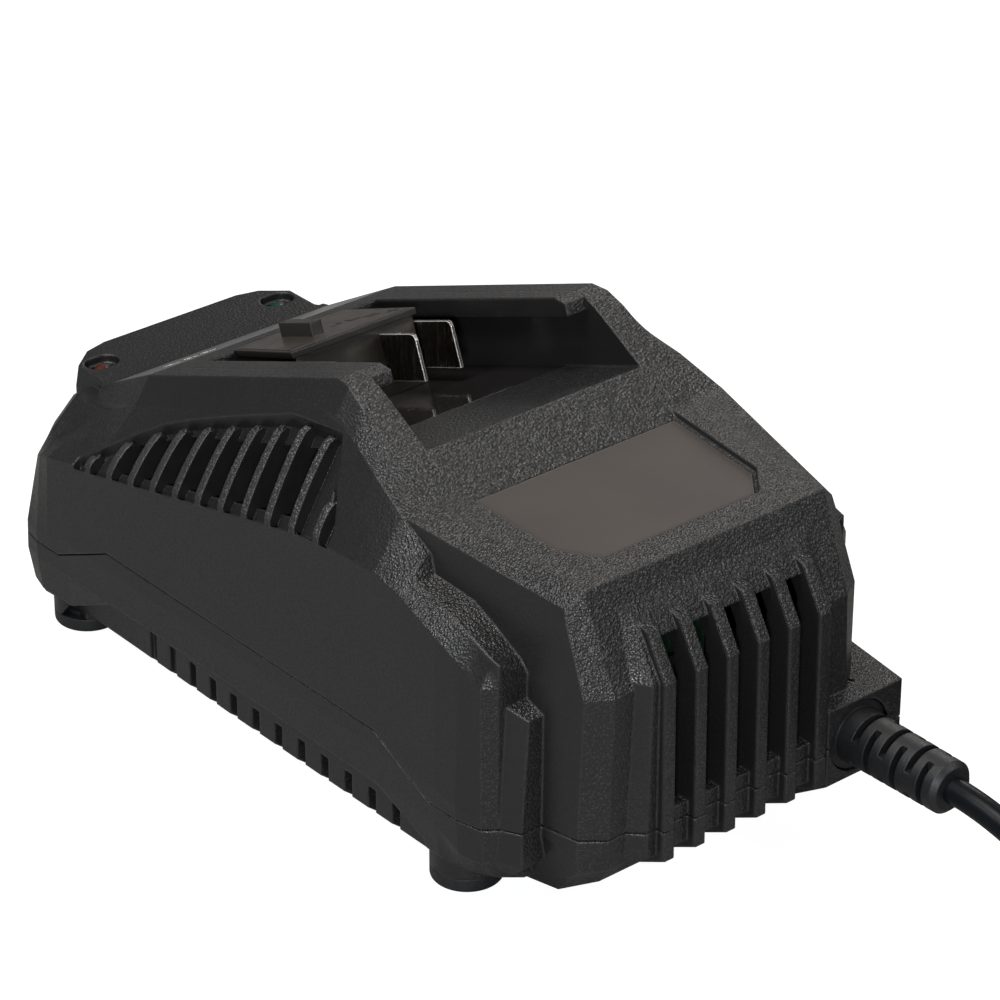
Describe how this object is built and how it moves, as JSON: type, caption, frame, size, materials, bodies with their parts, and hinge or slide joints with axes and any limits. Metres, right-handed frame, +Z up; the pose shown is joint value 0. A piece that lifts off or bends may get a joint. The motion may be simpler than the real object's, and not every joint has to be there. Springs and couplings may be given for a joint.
{
  "type": "power tool battery charger",
  "caption": "Desktop charger with a sloping slide-on battery seat between two rails, upright contact blades, a vented case, rubber feet and a mains lead with a coil and plug.",
  "frame": {"origin": "middle of the charger on the surface that its four feet stand on, measured without the lead, coil and plug", "axes": "+Z up, X the width, and the front with the vents and the lead faces -Y"},
  "size_m": [0.1976, 0.2887, 0.0979],
  "materials": {
    "case_upper": "matte",
    "case_lower": "satin",
    "seat": "gloss",
    "contact_plastic": "satin",
    "legend": "satin",
    "plate": "satin",
    "nickel": "satin",
    "steel": "satin",
    "rubber": "matte",
    "cord": "satin",
    "red_lens": "gloss",
    "green_lens": "gloss",
    "board": "satin",
    "chips": "matte",
    "ferrite": "matte",
    "tape": "gloss",
    "can": "gloss",
    "toroid": "gloss",
    "aluminium": "satin",
    "red_wire": "gloss",
    "blue_wire": "gloss",
    "tie": "matte",
    "brass": "satin"
  },
  "bodies": {
    "root": {"upper_shell": "case_upper", "rail_left": "case_upper", "rail_right": "case_upper", "lower_shell": "case_lower", "seat_insert": "seat", "terminal_block": "contact_plastic", "terminal_cover": "contact_plastic", "legend_strip": "legend", "label_plate": "plate", "blade_positive": "nickel", "blade_sense": "nickel", "blade_negative": "nickel", "light_red": "red_lens", "light_green": "green_lens", "indicator_board": "board", "indicator_screws": "steel", "case_screws": "steel", "circuit_board": "board", "board_screws": "steel", "front_board": "board", "front_board_parts": "chips", "transformer_core": "ferrite", "transformer_winding": "tape", "mains_capacitor": "can", "output_capacitors": "can", "choke": "toroid", "fuse": "chips", "heat_sink": "aluminium", "power_transistors": "chips", "terminal_wires": "red_wire", "mains_wires": "blue_wire", "cord_inside": "cord", "cord_clamp": "contact_plastic", "clamp_screws": "steel", "strain_relief": "rubber", "mains_cord": "cord", "cord_coil": "cord", "cord_tie": "tie", "plug_body": "rubber", "plug_pins": "brass", "foot_1": "rubber", "foot_2": "rubber", "foot_3": "rubber", "foot_4": "rubber"}
  },
  "joints": []
}
